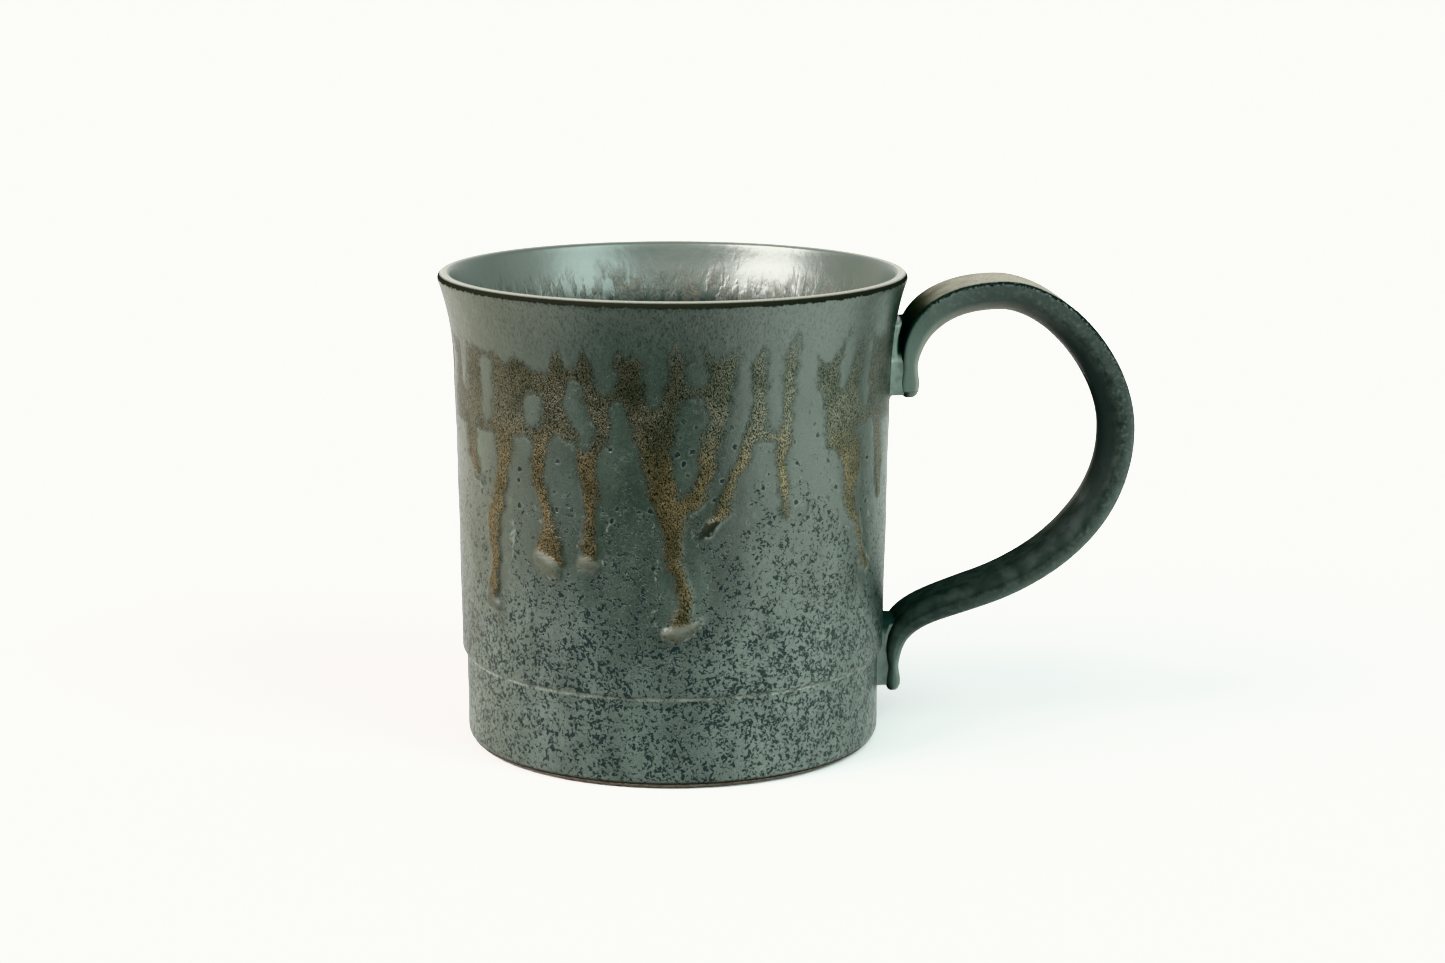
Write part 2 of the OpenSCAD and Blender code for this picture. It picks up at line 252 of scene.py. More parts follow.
# Runs of brown glaze down the wall
RUNS = (
    ((-70, 72, 4), (-64.5, 64, 3.6), (-63.5, 58, 3.4), (-61.5, 54.4, 2.4)),
    ((-49, 66, 4.4), (-48, 57, 3.2), (-49.8, 51, 3.1), (-52, 48, 2.9), (-52.7, 43, 2.6),
     (-53, 37, 2.3), (-53.4, 33, 2.5)),
    ((-36, 63, 3.4), (-36.4, 57, 2.4), (-35.6, 52.6, 2), (-33.8, 49.8, 2.1), (-32.4, 47, 2.3),
     (-32.8, 44.2, 2.9), (-33.2, 42, 3.7)),
    ((-21.5, 62, 3.8), (-21.6, 58.5, 3.4), (-21.6, 54, 2.3), (-21.7, 50, 1.8), (-22, 45.6, 1.9),
     (-22, 42.6, 2.3)),
    ((-21, 55, 1.5), (-17.2, 52, 0.6)),
    ((-5, 66, 5), (-3.9, 62, 3.7), (-3.4, 58, 3.5), (-2.5, 53.6, 3.1), (-0.6, 50.7, 3.3),
     (-0.4, 47.8, 3), (0, 45, 2.6), (1, 42, 2.0), (1.8, 39, 1.7), (2.7, 36.2, 2), (2.7, 33.3, 2.3),
     (2, 31.6, 2.6)),
    ((10.6, 68, 2.9), (10, 64, 2.7), (8.2, 61.4, 2.4), (7.4, 57.5, 2.4), (6.5, 55, 2.2),
     (4, 52.7, 2.1), (1, 50.5, 1.8)),
    ((21, 66, 3), (19.5, 63, 2.4), (17.4, 60.2, 2.2), (14.3, 57, 1.8), (13.4, 54.4, 1.9),
     (12.6, 51.5, 1.9), (10.8, 49.6, 1.5), (8.6, 48.4, 1.9)),
    ((30, 68, 2.1), (28.5, 64.5, 2.8), (28.2, 61, 2.1), (28, 58.3, 1.7), (28.8, 55.6, 1.5),
     (29.5, 53, 1.8), (31, 50.4, 1.6), (32.4, 49.4, 1)),
    ((48, 66, 6), (48, 62, 5.4), (52.5, 58.3, 4.3), (52.6, 54.3, 3.8), (52.3, 50.2, 2.7),
     (53, 47.5, 2), (54.8, 44.8, 1.3), (56.7, 42, 1.3), (58, 39.4, 1.5), (60.4, 36.8, 1.9)),
    ((66, 72, 3.4), (67, 64, 2.4), (68.5, 56, 2.8), (69.5, 50, 2.6)),
)
# Thick ends of the runs, as strokes, with how far each stands out and how pale it is, from black to
# full paleness, or -1 for one of the base glaze
DROPS = (
    (((-61.5, 53.6, 1.5), (-58.6, 52.8, 1.1)), 0.55, 0.7),
    (((-55.2, 33, 1.2), (-54.4, 31, 1.9), (-52, 30.8, 1.4)), 0.75, 0.8),
    (((-36.4, 41, 1.5), (-33.2, 39.6, 3), (-31.4, 38.6, 1.7)), 0.95, 1.0),
    (((-24.6, 41.4, 1.0), (-22, 41, 1.7), (-19.8, 40.6, 0.9)), 0.75, 0.9),
    (((-1, 29, 1.6), (1.2, 28.9, 2.5), (3.6, 30, 1.6), (6.6, 31, 0.9)), 1.0, 1.0),
    (((10.4, 48.6, 1.2), (7.6, 47.4, 2.0), (6.2, 47.1, 1.2)), 0.6, 0.0),
    (((33, 49.4, 1.4), (35.2, 49, 2.0)), 0.5, -1.0),
    (((62.4, 36.2, 1.5), (62.8, 35.6, 1.2)), 0.6, 0.7),
)


def far_side_pattern():
    """Upper edge, openings, runs and drops for the side away from the front, in the same manner."""
    rng = np.random.default_rng(7)
    top, openings, runs, drops = [], [], [], []
    angle = 80.0
    while angle < 280:
        top += [(angle, rng.uniform(75, 77.5)), (angle + 2.6, rng.uniform(78.5, 81.5)),
                (angle + 4.6, rng.uniform(75.5, 77.5))]
        angle += rng.uniform(6.5, 10)
    angle = 78.0
    while angle < 282:
        low, high = rng.uniform(63, 70), rng.uniform(72, 78)
        lean, half = rng.uniform(-1.5, 1.5), rng.uniform(1.8, 3.1)
        openings.append(((angle + lean, high, half * 0.9), (angle, low, half)))
        if rng.random() < 0.45:
            openings.append(((angle + rng.uniform(-3, 3), 60.5, 2.6), (angle, 54, 4.4)))
        angle += rng.uniform(8.5, 12.5)
    angle = 98.0
    while angle < 254:
        low = rng.uniform(29, 52)
        half = rng.uniform(1.6, 3)
        bend, drift = rng.uniform(-1.6, 1.6), rng.uniform(-3, 3)
        runs.append(((angle, 66, half + 2), (angle + bend, 58, half + 0.6),
                     (angle + drift / 2 - bend, (58 + low) / 2, half * 0.85),
                     (angle + drift, low + 2.4, half)))
        pale = rng.uniform(0.5, 1)
        drops.append((((angle + drift - half * 0.6, low + 0.4, half * 0.5),
                       (angle + drift + 0.3, low, half * 0.95)), rng.uniform(0.6, 0.9), pale))
        angle += rng.uniform(11, 18)
    return top, openings, runs, drops


def poured_glaze(degrees, z):
    """Depth in mm inside the brown glaze and the drops, the relief, and the drops' paleness."""
    top, openings, runs, drops = far_side_pattern()
    a = degrees - PATTERN_TURN
    a = a + 0.45 * wave_noise(degrees, z, 9, 3) + 0.3 * wave_noise(degrees, z, 3.2, 4)
    zz = z + 0.35 * wave_noise(degrees, z, 7, 5)
    edge = sorted((angle % 360, height) for angle, height in list(BROWN_TOP) + top)
    edge_z = np.interp(a % 360, [e[0] for e in edge], [e[1] for e in edge], period=360)
    far_side = smooth((np.abs(angle_gap(a, 0)) - 76) / 14)
    low_z = BROWN_LOW_Z + far_side * 1.8 * wave_noise(degrees, 0 * z, 11, 41)
    brown = np.minimum(edge_z - zz, zz - low_z)
    run_depth = np.full(a.shape, FAR_OUT)
    for run in list(RUNS) + runs:
        run_depth = np.maximum(run_depth, depth_in_stroke(a, zz, run))
    brown = np.maximum(brown, run_depth)
    for opening in list(OPENINGS) + openings:
        brown = np.minimum(brown, -depth_in_stroke(a, zz, opening))
    drop = np.full(a.shape, FAR_OUT)
    relief = np.zeros(a.shape)
    pale = np.zeros(a.shape)
    for stroke, height, paleness in list(DROPS) + drops:
        depth = depth_in_stroke(a, zz, stroke)
        reach = max(p[2] for p in stroke) * MM_PER_DEG
        dome = height * np.sqrt(np.clip(depth / reach, 0, 1) * (2 - np.clip(depth / reach, 0, 1)))
        relief = np.maximum(relief, dome)
        pale = np.where(depth > drop, paleness, pale)
        drop = np.maximum(drop, depth)
    low = smooth((60 - z) / 25)
    runs_up = (0.05 + 0.4 * low) * smooth((brown + 0.35) / 0.9)
    islands_up = 0.07 * smooth((0.2 - brown) / 0.9) * smooth((z - 52) / 8) * smooth((82 - z) / 6)
    relief = np.maximum(relief, np.maximum(runs_up, islands_up))
    return brown, drop, relief, pale


def base_flow(degrees, z, brown):
    """Depth in mm inside the smoother flows of base glaze that come down with the runs."""
    hem = HEM_Z + 3.2 * wave_noise(degrees, 0 * z, 22, 31) + 1.6 * wave_noise(degrees, 0 * z, 9, 32)
    beside = brown + 2.1 + 0.9 * wave_noise(degrees, z, 12, 33)
    return np.maximum(z - hem, beside) + 0.5 * wave_noise(degrees, z, 6, 34)


WALL_COLUMNS, LINER_COLUMNS = 600, 288
# A crest is where the brown glaze deepens over this height
CREST_STEP = 0.7
# The foot band's upper edge: height of its ridge, distance below the step, half width
BAND_RIDGE = (0.16, 0.2, 0.45)
# Depth written on the hidden back of the coat, where there is no pattern
NO_PATTERN = -5


def build_outer_glaze():
    """The outside of the cup: base glaze, brown glaze and drops as one coat with true relief."""
    degrees = np.linspace(0, 360, WALL_COLUMNS, endpoint=False)
    outline = outer_profile()
    normals = profile_normals(outline)
    a, z = np.meshgrid(degrees, outline[:, 1])
    brown, drop, relief, pale = poured_glaze(a, z)
    above = poured_glaze(a, z + CREST_STEP)[0]
    crest = np.clip((above - brown) / CREST_STEP, -1, 1)
    flow = base_flow(a, z, brown)
    ripple = 0.035 * wave_noise(a, z, 16, 11) + 0.012 * wave_noise(a, z, 5, 12)
    calm = smooth((z - GLAZE_Z) / 2) * smooth((CUP_H - z) / 3)
    lift = (relief + ripple) * calm
    ridge, below, reach = BAND_RIDGE
    lift = lift + ridge * np.exp(-((z - BAND_H + below) / reach) ** 2)
    front = outline[:, None] + lift[..., None] * normals[:, None]
    back = outer_profile(GLAZE_T, fine=False)[::-1]
    rows = len(outline) + len(back)
    points = np.concatenate([turned(front, degrees), turned(back, degrees)]).reshape(-1, 3)
    none = np.zeros((len(back), WALL_COLUMNS))
    values = {"brown": np.concatenate([brown, none + NO_PATTERN]),
              "drop": np.concatenate([drop, none + NO_PATTERN]),
              "pale": np.concatenate([pale, none]), "crest": np.concatenate([crest, none]),
              "flow": np.concatenate([flow, none + NO_PATTERN]),
              "height": np.concatenate([z, none + back[:, 1:]])}
    faces = grid_faces(rows, WALL_COLUMNS, close_rows=True)
    return make_object("wall_glaze", points, faces, values)


def build_liner():
    """The inside of the cup and the inner half of the lip."""
    columns = LINER_COLUMNS
    degrees = np.linspace(0, 360, columns, endpoint=False)
    outline = liner_profile()
    normals = profile_normals(outline)
    a, z = np.meshgrid(degrees, outline[:, 1])
    calm = smooth((CUP_H - z) / 4) * smooth(outline[:, 0, None] / 20)
    lift = 0.03 * wave_noise(a, z, 18, 21) * calm
    front = outline[:, None] + lift[..., None] * normals[:, None]
    back = liner_profile(GLAZE_T, fine=False)[::-1]
    points = np.concatenate([turned(front, degrees), turned(back, degrees)]).reshape(-1, 3)
    height = np.concatenate([z, np.zeros((len(back), columns)) + back[:, 1:]]).ravel()
    rows, split = len(outline) + len(back), len(outline) * columns
    # The two sides meet at the lip, and each has a middle point on the floor
    faces = grid_faces(len(outline), columns) + grid_faces(len(back), columns, first=split)
    lip, back_lip = 0, (rows - 1) * columns
    top, under = len(points), len(points) + 1
    for j in range(columns):
        k = (j + 1) % columns
        faces += [(back_lip + j, back_lip + k, lip + k, lip + j),
                  (split - columns + j, split - columns + k, top), (split + k, split + j, under)]
    points = np.concatenate([points, [[0, 0, FLOOR_Z], [0, 0, FLOOR_Z - GLAZE_T]]])
    return make_object("liner", points, faces, {"height": np.append(height, [FLOOR_Z, FLOOR_Z])})


# ---- Handle ----

UPPER_X, UPPER_Z = 43.4, 64.6
LOWER_X, LOWER_Z = 41.3, 8.4
STRAP_TOP, STRAP_REACH, LOOP_Z = 83.4, 83.0, 57.4
STRAP_W, STRAP_LOW_W = 14.5, 11.0
UPPER_T, LOWER_T = 3.0, 2.0
# Bezier pieces of the strap's middle line in the XZ plane, with how many stations each has
BENDS = (
    (((UPPER_X, UPPER_Z), (UPPER_X, UPPER_Z + 2),
      (UPPER_X, UPPER_Z + 4), (UPPER_X, UPPER_Z + 6)), 4),
    (((UPPER_X, UPPER_Z + 6), (UPPER_X, STRAP_TOP - 7.6),
      (47.0, STRAP_TOP), (60.4, STRAP_TOP)), 10),
    (((60.4, STRAP_TOP), (70.6, STRAP_TOP), (STRAP_REACH, 69.8), (STRAP_REACH, LOOP_Z)), 12),
    (((STRAP_REACH, LOOP_Z), (83.3, 43.4), (72.6, 31.9), (56.4, 26.7)), 12),
    (((56.4, 26.7), (48.2, 23.7), (LOWER_X + 0.2, 22.6), (LOWER_X, 14.8)), 9),
    (((LOWER_X, 14.8), (LOWER_X, 13), (LOWER_X, 11), (LOWER_X, LOWER_Z)), 4))
STATIONS = sum(n for _, n in BENDS)
# By the share of the way along the strap: its thickness, its width and its inner corners' radius
THICKNESS = ((0, UPPER_T), (0.08, UPPER_T), (0.18, 5.0), (0.28, 5.6), (0.37, 6.2), (0.44, 6.0),
             (0.55, 5.2), (0.62, 5.2), (0.76, 4.8), (0.86, 4.0), (0.90, 3.2), (0.94, LOWER_T),
             (1, LOWER_T))
WIDTH = ((0, STRAP_W - 0.5), (0.25, STRAP_W), (0.6, STRAP_W * 0.9), (1, STRAP_LOW_W))
INNER_ARRIS = ((0, 0.9), (0.12, 1.0), (0.28, 3.6), (0.5, 4.0), (0.62, 2.6), (0.82, 1.6),
               (0.91, 0.8), (1, 0.7))
OUTER_ARRIS = 0.85
# The thicker places near the two ends: added half thickness, distance from the end, half length
UPPER_SWELL = (0.36, 2.7, 1.7)
LOWER_SWELL = (0.42, 1.9, 1.6)
# Rounding of the two ends
UPPER_ROUND, LOWER_ROUND = 1.2, 0.85


def table(rows, u):
    return np.interp(u, [r[0] for r in rows], [r[1] for r in rows])


def strap_path(per_station=5):
    """Middle line, direction and share of the way along, from the cut upper end to the tip."""
    points, ways, shares = [], [], []
    done = 0
    for corners, steps in BENDS:
        b = np.array(corners, float)
        last = corners is BENDS[-1][0]
        t = np.linspace(0, 1, steps * per_station + (1 if last else 0), endpoint=last)[:, None]
        s = 1 - t
        points.append(s ** 3 * b[0] + 3 * s ** 2 * t * b[1] + 3 * s * t * t * b[2] + t ** 3 * b[3])
        ways.append(s ** 2 * (b[1] - b[0]) + 2 * s * t * (b[2] - b[1]) + t * t * (b[3] - b[2]))
        shares.append((done + t[:, 0] * steps) / STATIONS)
        done += steps
    way = np.concatenate(ways)
    way /= np.linalg.norm(way, axis=1)[:, None]
    return np.concatenate(points), way, np.concatenate(shares)


def strap_section(half_t, half_w, inset, inner):
    """Offsets (outward, sideways) round a rectangle: crisp outer corners, soft inner ones."""
    half_t, half_w = half_t - inset, half_w - inset
    arcs = []
    for out, side, start, radius in ((1, 1, 0, OUTER_ARRIS), (-1, 1, 90, inner),
                                     (-1, -1, 180, inner), (1, -1, 270, OUTER_ARRIS)):
        r = max(min(radius, 2 * half_t - OUTER_ARRIS - 0.1), 0.2)
        arcs.append(arc((out * (half_t - r), side * (half_w - r)), r, math.radians(start),
                        math.radians(start + 90), 8))
    offsets = []
    for k, between in enumerate((4, 10, 4, 10)):
        share = np.linspace(0, 1, between + 2)[1:-1, None]
        here, there = arcs[k][-1], arcs[(k + 1) % 4][0]
        offsets += [arcs[k], here + share * (there - here)]
    return np.concatenate(offsets)


def build_handle():
    """The glazed strap, closed and rounded at its cut upper end and its lower tip."""
    centre, way, share = strap_path()
    half_t = table(THICKNESS, share) / 2
    half_w, inner = table(WIDTH, share) / 2, table(INNER_ARRIS, share)
    gone = np.concatenate([[0], np.cumsum(np.linalg.norm(np.diff(centre, axis=0), axis=1))])
    length = gone[-1]
    for along, (more, middle, reach) in ((gone, UPPER_SWELL), (length - gone, LOWER_SWELL)):
        half_t += more * np.exp(-((along - middle) / reach) ** 2)
    kernel = np.hanning(9) / np.hanning(9).sum()
    half_t = np.convolve(np.pad(half_t, 4, "edge"), kernel, "valid")
    rings = []
    turns = np.radians(np.linspace(90, 0, 6))
    for k in range(len(centre)):
        ends = [(0, 0)]
        if k == 0:
            ends = [(UPPER_ROUND * (1 - math.sin(t)), UPPER_ROUND * (1 - math.cos(t)))
                    for t in turns]
        elif k == len(centre) - 1:
            ends = [(LOWER_ROUND * (math.sin(t) - 1), LOWER_ROUND * (1 - math.cos(t)))
                    for t in turns[::-1]]
        elif gone[k] < UPPER_ROUND or length - gone[k] < LOWER_ROUND:
            continue
        for shift, inset in ends:
            section = strap_section(half_t[k], half_w[k], inset, inner[k])
            p = centre[k] + way[k] * shift
            x = p[0] - way[k][1] * section[:, 0]
            z = p[1] + way[k][0] * section[:, 0]
            rings.append((np.stack([x, section[:, 1], z], -1), section[:, 0] / half_t[k],
                          section[:, 1] / half_w[k], np.full(len(section), share[k])))
    columns = len(rings[0][0])
    points = np.concatenate([r[0] for r in rings])
    faces = grid_faces(len(rings), columns, flip=True)
    end = (len(rings) - 1) * columns
    faces.append(tuple(range(columns)))
    faces.append(tuple(range(end + columns - 1, end - 1, -1)))
    values = {key: np.concatenate([r[k] for r in rings])
              for k, key in enumerate(("outward", "sideways", "share"), 1)}
    return make_object("strap", points, faces, values)


# ---- Pads and slip between the handle and the wall ----

# Height, front edge and back edge of each pad
UPPER_PAD = ((65.1, -6.9, 6.7), (71.4, -6.8, 6.7), (73.4, -5.8, 6.7), (75, -3.6, 6.6),
             (76.6, -0.8, 6.5), (78.4, 2.5, 6.3))
LOWER_PAD = ((9.4, -5.3, 5), (15.5, -5.2, 5), (18, -4.6, 4.6), (21.7, -3.8, 4))
# How far the pads' front edges lean back along the wall, for each millimetre up
PAD_LEAN = 0.06
# How far the pads reach into the wall and into the strap
UPPER_IN_WALL, LOWER_IN_FOOT, PAD_IN_STRAP = 1.6, 1.5, 0.45
# The pads' level ends: height of their rounding and how far it draws the edges in
PAD_ROUND, PAD_DRAW = 0.9, 0.5
# How far the pads spread where they meet the wall
PAD_SPREAD = 0.6
# Distance of the wall from the axis, height, reach, half width, and 1 where the pad is above
UPPER_SLIP = (40.1, 65.2, 2.2, 6.2, 1)
LOWER_SLIP = (39.4, 21.4, 1.4, 3.8, -1)
SLIP_IN_WALL, SLIP_IN_PAD = 0.8, 0.5


def strap_face(upper):
    """Heights and distances from the axis of the strap's face toward the wall, for one end."""
    centre, way, share = strap_path()
    half_t = table(THICKNESS, share) / 2
    rising = share < 0.2
    if upper:
        z = centre[:, 1] + way[:, 0] * half_t
        return z[rising], (centre[:, 0] - way[:, 1] * half_t)[rising]
    falling = (share > 0.8)[::-1]
    z = (centre[:, 1] - way[:, 0] * half_t)[::-1]
    return z[falling], (centre[:, 0] + way[:, 1] * half_t)[::-1][falling]


def pad(name, upper, outline):
    """Clay pressed between the wall and the strap. The outline gives both edges by height."""
    face_z, face_x = strap_face(upper)
    levels = [row[0] for row in outline]
    heights = np.linspace(levels[0], levels[-1], 44)
    end_round = np.clip(np.minimum(heights - levels[0], levels[-1] - heights) / PAD_ROUND, 0, 1)
    inset = PAD_DRAW * (1 - np.sqrt(1 - (1 - end_round) ** 2))
    share = np.linspace(0, 1, 16)
    rings = []
    for z, less in zip(heights, inset):
        front = np.interp(z, levels, [row[1] for row in outline]) + less
        back = np.interp(z, levels, [row[2] for row in outline]) - less
        wall = float(outer_r(z)) - UPPER_IN_WALL if upper else FOOT_R - LOWER_IN_FOOT
        face = np.interp(z, face_z, face_x) + PAD_IN_STRAP
        by_wall = min(outline[0][1] + PAD_LEAN * (z - levels[0]) + less, front)
        lean = (front - by_wall) * (1 - smooth((share - 0.5) / 0.3))
        spread = lean + PAD_SPREAD * (1 - share) ** 2.5
        x = wall + (face - wall) * share
        near = np.stack([x, front - spread], -1)
        far = np.stack([x, back + PAD_SPREAD * (1 - share)], -1)
        line = np.concatenate([near, far[::-1]])
        rings.append(np.stack([line[:, 0], line[:, 1], np.full(len(line), z)], -1))
    count = 2 * len(share)
    end = (len(rings) - 1) * count
    faces = grid_faces(len(rings), count)
    faces += [tuple(range(count - 1, -1, -1)), tuple(range(end, end + count))]
    toward = np.tile(np.concatenate([share, share[::-1]]), len(rings))
    return make_object(name, np.concatenate(rings), faces, {"toward": toward})


def slip_corner(name, corner):
    """Slip wiped into the corner between the wall and the level end of a pad."""
    wall_x, z, reach, half_w, up = corner
    rows, columns = 25, 9
    rings = []
    for y in np.linspace(-half_w, half_w, rows):
        r = max(reach * (1 - (y / half_w) ** 4), 0.02)
        wall = math.sqrt(wall_x ** 2 - y * y)
        a = np.radians(np.linspace(180, 90, columns))
        line = np.stack([wall + r + r * np.cos(a), z - up * (r - r * np.sin(a))], -1)
        back = [[wall - SLIP_IN_WALL, z + up * SLIP_IN_PAD], [wall - SLIP_IN_WALL, z - up * r]]
        line = np.concatenate([line, back])
        rings.append(np.stack([line[:, 0], np.full(len(line), y), line[:, 1]], -1))
    count = columns + 2
    faces = grid_faces(rows, count, flip=up > 0)
    end = (rows - 1) * count
    caps = [tuple(range(count - 1, -1, -1)), tuple(range(end, end + count))]
    faces += [c[::-1] for c in caps] if up > 0 else caps
    return make_object(name, np.concatenate(rings), faces)


# ---- Materials ----

class Nodes:
    """Short forms for the nodes of a material or a world."""

    def __init__(self, owner):
        owner.use_nodes = True
        self.tree = owner.node_tree
        self.tree.nodes.clear()

    def node(self, kind, **settings):
        node = self.tree.nodes.new(kind)
        for key, value in settings.items():
            setattr(node, key, value)
        return node

    def put(self, socket, value):
        if isinstance(value, bpy.types.NodeSocket):
            self.tree.links.new(value, socket)
        else:
            socket.default_value = value

    def maths(self, operation, a, b=0.0, c=0.0):
        node = self.node("ShaderNodeMath", operation=operation)
        for socket, value in zip(node.inputs, (a, b, c)):
            self.put(socket, value)
        return node.outputs[0]

    def ramp(self, value, low, high, to=(0.0, 1.0)):
        node = self.node("ShaderNodeMapRange", interpolation_type="SMOOTHSTEP")
        for key, item in (("Value", value), ("From Min", low), ("From Max", high),
                          ("To Min", to[0]), ("To Max", to[1])):
            self.put(node.inputs[key], item)
        return node.outputs[0]

    def fade(self, value, low, high):
        return self.ramp(value, low, high, (1.0, 0.0))

    def mix(self, share, a, b):
        node = self.node("ShaderNodeMix", data_type="RGBA")
        colour = [s for s in node.inputs if s.type == "RGBA"]
        self.put(node.inputs["Factor"], share)
        for socket, value in zip(colour, (a, b)):
            self.put(socket, value if isinstance(value, bpy.types.NodeSocket) else (*value, 1))
        return [s for s in node.outputs if s.type == "RGBA"][0]

    def both(self, share, *others):
        for other in others:
            share = self.maths("MULTIPLY", share, other)
        return share

    def either(self, a, b):
        return self.maths("MAXIMUM", a, b)

    def plus(self, a, b):
        return self.maths("ADD", a, b)

    def scaled(self, a, by, plus):
        return self.maths("MULTIPLY_ADD", a, by, plus)


class Shader(Nodes):
    """A procedural material."""

    def __init__(self, name):
        self.material = bpy.data.materials.new(name)
        super().__init__(self.material)
        self.surface = self.node("ShaderNodeBsdfPrincipled")
        output = self.node("ShaderNodeOutputMaterial")
        self.put(output.inputs[0], self.surface.outputs[0])
        self.place = self.node("ShaderNodeTexCoord").outputs["Object"]

    def set(self, **values):
        for key, value in values.items():
            self.put(self.surface.inputs[key.replace("_", " ")], value)

    def value(self, name):
        return self.node("ShaderNodeAttribute", attribute_name=name).outputs["Fac"]

    def noise(self, size, detail=2.0, stretch=(1, 1, 1), shift=0.0, rough=0.5, twist=0.0):
        """Noise with features of about size mm, stretched along the object's axes."""
        mapping = self.node("ShaderNodeMapping")
        self.put(mapping.inputs["Vector"], self.place)
        mapping.inputs["Scale"].default_value = [1 / (size * MM * s) for s in stretch]
        mapping.inputs["Location"].default_value = (shift, shift * 1.7, shift * 0.6)
        noise = self.node("ShaderNodeTexNoise")
        self.put(noise.inputs["Vector"], mapping.outputs[0])
        for key, value in (("Scale", 1.0), ("Detail", detail), ("Roughness", rough),
                           ("Distortion", twist)):
            noise.inputs[key].default_value = value
        return noise.outputs["Fac"]

    def bump(self, height, distance, normal=None):
        """A bump of distance mm."""
        node = self.node("ShaderNodeBump")
        node.inputs["Strength"].default_value = 1.0
        node.inputs["Distance"].default_value = distance * MM
        self.put(node.inputs["Height"], height)
        if normal is not None:
            self.put(node.inputs["Normal"], normal)
        return node.outputs[0]


GLAZE_IOR = 1.6
UPPER_BASE = (0.0105, 0.0155, 0.0125)
UPPER_PALE = (0.021, 0.029, 0.024)
LOWER_BASE = (0.018, 0.027, 0.023)
LOWER_PALE = (0.041, 0.056, 0.049)
SPECKLE = (0.008, 0.011, 0.0125)
BROWN_DARK = (0.022, 0.027, 0.025)
BROWN_GREY = (0.142, 0.131, 0.105)
BROWN_GOLD = (0.180, 0.142, 0.092)
PALE_DROP = (0.031, 0.034, 0.025)
BLACK_DROP = (0.015, 0.016, 0.014)
PALE_LINE = (0.12, 0.135, 0.115)
LIP_DARK = (0.0115, 0.0115, 0.0102)
LIP_HIGHLIGHT = (0.16, 0.15, 0.12)
RIM_WARM = (0.022, 0.030, 0.024)
HANDLE_DARK = (0.0058, 0.0078, 0.0075)
HANDLE_GREEN = (0.0155, 0.0212, 0.0195)
HANDLE_LIT_GOLD = (0.077, 0.070, 0.041)
HANDLE_PALE = (0.055, 0.077, 0.067)
HANDLE_EDGE_HIGHLIGHT = (0.16, 0.16, 0.13)
HANDLE_INNER = (0.034, 0.0385, 0.037)
HANDLE_LIT_WARM = (0.080, 0.076, 0.062)
HANDLE_SHADE = (0.0145, 0.0172, 0.0172)
JOINT_PALE = (0.074, 0.103, 0.089)
JOINT_GLINT = (0.15, 0.18, 0.16)
INSIDE_BROWN = (0.058, 0.051, 0.039)
CLAY_DARK = (0.030, 0.024, 0.019)
CLAY_PALE = (0.080, 0.062, 0.047)
FLOOR_COLOURS = ((0.63, 0.612, 0.625), (0.64, 0.622, 0.635))


